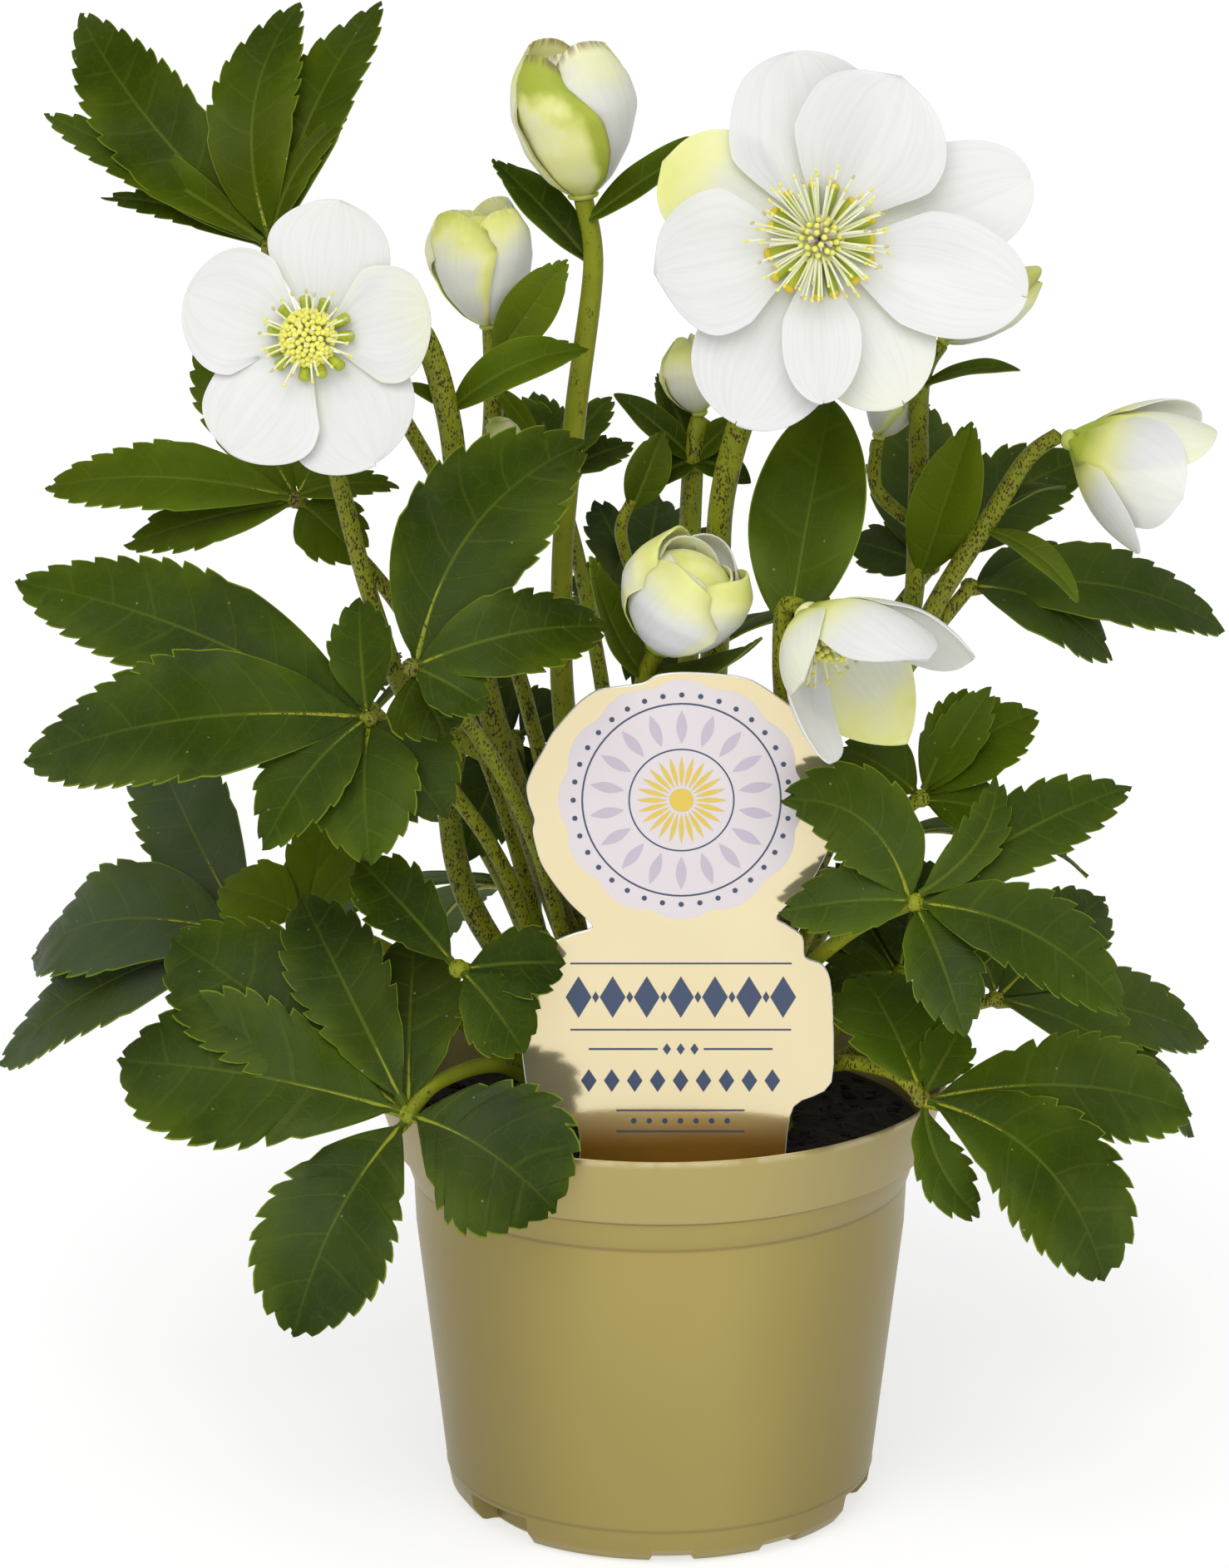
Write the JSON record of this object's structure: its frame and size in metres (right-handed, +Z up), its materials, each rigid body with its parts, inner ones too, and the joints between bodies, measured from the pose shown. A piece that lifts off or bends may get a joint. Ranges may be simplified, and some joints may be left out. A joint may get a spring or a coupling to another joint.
{
  "type": "potted hellebore plant",
  "caption": "Christmas rose with white blooms, buds and toothed leaves growing in a gold plastic nursery pot with a die-cut care tag.",
  "frame": {"origin": "centre of the pot's underside, on the surface that it stands on", "axes": "+Z up along the pot's axis, -Y to the front with the tag, +X to the front view's right"},
  "size_m": [0.282, 0.2366, 0.3356],
  "materials": {
    "gold_plastic": "satin metallic gold",
    "peat": "moist crumbly peat",
    "gold_card": "printed pale gold card",
    "leaf_green": "leathery dark green leaf",
    "stem_green": "yellow-green stem with purple-brown speckles",
    "petal_white": "soft white petal, green-tinged in buds",
    "stamen_yellow": "cream filaments and yellow anthers"
  },
  "bodies": {
    "root": {"pot": "gold_plastic", "soil": "peat", "tag": "gold_card", "bloom_big_petals": "petal_white", "bloom_big_stamens": "stamen_yellow", "bloom_nodding_petals": "petal_white", "bloom_second_petals": "petal_white", "bloom_second_stamens": "stamen_yellow", "bloom_third_petals": "petal_white", "bloom_third_stamens": "stamen_yellow", "bud_centre": "petal_white", "bud_crescent": "petal_white", "bud_green": "petal_white", "bud_low": "petal_white", "bud_right": "petal_white", "bud_small": "petal_white", "bud_tall": "petal_white", "leaf_back_centre": "leaf_green", "leaf_back_left": "leaf_green", "leaf_back_low_left": "leaf_green", "leaf_back_low_right": "leaf_green", "leaf_back_right": "leaf_green", "leaf_inner_right": "leaf_green", "leaf_left_broad": "leaf_green", "leaf_left_centre": "leaf_green", "leaf_left_high": "leaf_green", "leaf_left_light": "leaf_green", "leaf_left_low_back": "leaf_green", "leaf_left_upper": "leaf_green", "leaf_mid_back": "leaf_green", "leaf_mid_left_back": "leaf_green", "leaf_mid_low_back": "leaf_green", "leaf_pot_left": "leaf_green", "leaf_pot_right": "leaf_green", "leaf_right_far": "leaf_green", "leaf_right_high": "leaf_green", "leaf_right_low_back": "leaf_green", "leaf_right_mid": "leaf_green", "leaf_tag_left": "leaf_green", "leaf_tag_right": "leaf_green", "stem_big": "stem_green", "stem_bud_centre": "stem_green", "stem_bud_green": "stem_green", "stem_bud_low": "stem_green", "stem_bud_right": "stem_green", "stem_bud_tall": "stem_green", "stem_nodding": "stem_green", "stem_second": "stem_green", "stem_third": "stem_green"}
  },
  "joints": []
}
